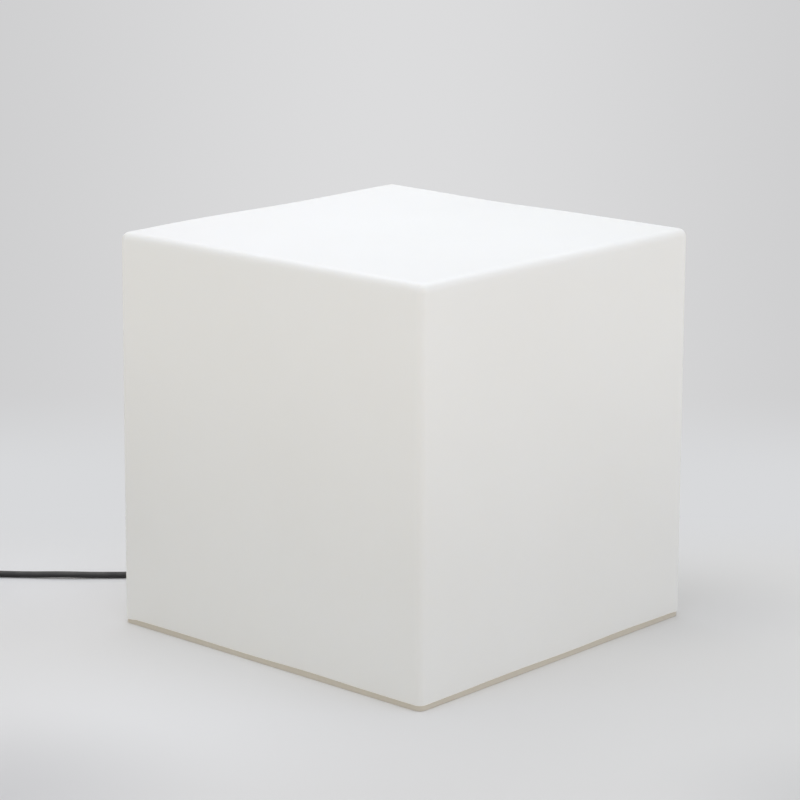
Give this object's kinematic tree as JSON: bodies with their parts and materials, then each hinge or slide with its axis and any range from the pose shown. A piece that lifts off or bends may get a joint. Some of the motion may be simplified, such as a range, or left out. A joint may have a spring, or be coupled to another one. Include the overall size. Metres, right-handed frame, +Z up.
{
  "type": "outdoor cube light",
  "caption": "Translucent white cube light for gardens and porches: a hollow cube that lifts off a round lamp base with a screw-in LED bulb, with a rubber mains cord and plug.",
  "frame": {"origin": "on the floor under the middle of the cube, at the underside of the rubber feet", "axes": "+Z up through the middle of the top face, +Y towards the side that the cord leaves by, +X completes the right-handed frame"},
  "size_m": [0.6383, 0.6889, 0.4],
  "materials": {
    "diffuser": "satin, translucent white",
    "base_plastic": "satin",
    "foam_rubber": "closed-cell foam",
    "foot_rubber": "matte",
    "steel": "zinc plated",
    "holder_plastic": "semi-gloss",
    "ceramic": "glazed",
    "nickel": "nickel plated",
    "brass": "bright",
    "black_glass": "opaque",
    "bulb_plastic": "satin",
    "board_white": "satin",
    "phosphor": "satin",
    "board_green": "satin",
    "component_black": "satin",
    "opal": "frosted",
    "cord_rubber": "matte",
    "plug_rubber": "satin",
    "tie_nylon": "nylon strap",
    "block_plastic": "satin",
    "wire_brown": "satin",
    "wire_blue": "satin"
  },
  "bodies": {
    "base": {"lamp_base": "base_plastic", "base_cover": "base_plastic", "base_gasket": "foam_rubber", "cover_screws": "steel", "rubber_feet": "foot_rubber", "lamp_pillar": "base_plastic", "pillar_screws": "steel", "holder_nipple": "steel", "nipple_nuts": "steel", "holder_cap": "holder_plastic", "holder_barrel": "holder_plastic", "holder_core": "ceramic", "screw_sleeve": "nickel", "holder_terminals": "brass", "terminal_screws": "steel", "strain_relief": "cord_rubber", "inner_lead": "cord_rubber", "cord_clamp": "steel", "clamp_screws": "steel", "terminal_block": "block_plastic", "block_screws": "brass", "supply_live": "wire_brown", "supply_neutral": "wire_blue", "lamp_live": "wire_brown", "lamp_neutral": "wire_blue", "power_cord": "cord_rubber", "cord_coil": "cord_rubber", "cord_tail": "cord_rubber", "cord_tie": "tie_nylon", "plug_body": "plug_rubber", "plug_pins": "nickel"},
    "cube": {"diffuser_cube": "diffuser"},
    "tongue": {"contact_tongue": "brass"},
    "bulb_tip": {"bulb_eyelet": "nickel"},
    "bulb": {"bulb_insulator": "black_glass", "bulb_cap": "nickel", "bulb_body": "bulb_plastic", "led_board": "board_white", "led_chips": "phosphor", "driver_board": "board_green", "driver_parts": "component_black", "bulb_dome": "opal"}
  },
  "joints": [
    {"name": "cube_lift", "type": "slide", "parent": "base", "child": "cube", "axis": [0, 0, 1], "range_m": [0, 0.26]},
    {"name": "bulb_draw", "type": "slide", "parent": "base", "child": "bulb_tip", "axis": [0, 0, 1], "range_m": [0, 0.0218]},
    {"name": "bulb_turn", "type": "hinge", "parent": "bulb_tip", "child": "bulb", "pos_m": [0, 0, 0.1162], "axis": [0, 0, 1], "range_deg": [0, 2160]},
    {"name": "tongue_rise", "type": "hinge", "parent": "base", "child": "tongue", "pos_m": [-0.0091, 0, 0.1135], "axis": [0, -1, 0], "range_deg": [0, 5.1], "stiffness_Nm_per_rad": 0.00002, "springref_deg": 60.16}
  ],
  "couplings": [
    {"joint": "bulb_draw", "follows": "bulb_turn", "m_per_rad": 0.00057757},
    {"joint": "tongue_rise", "follows": "bulb_turn", "ratio": 0.0023148}
  ]
}
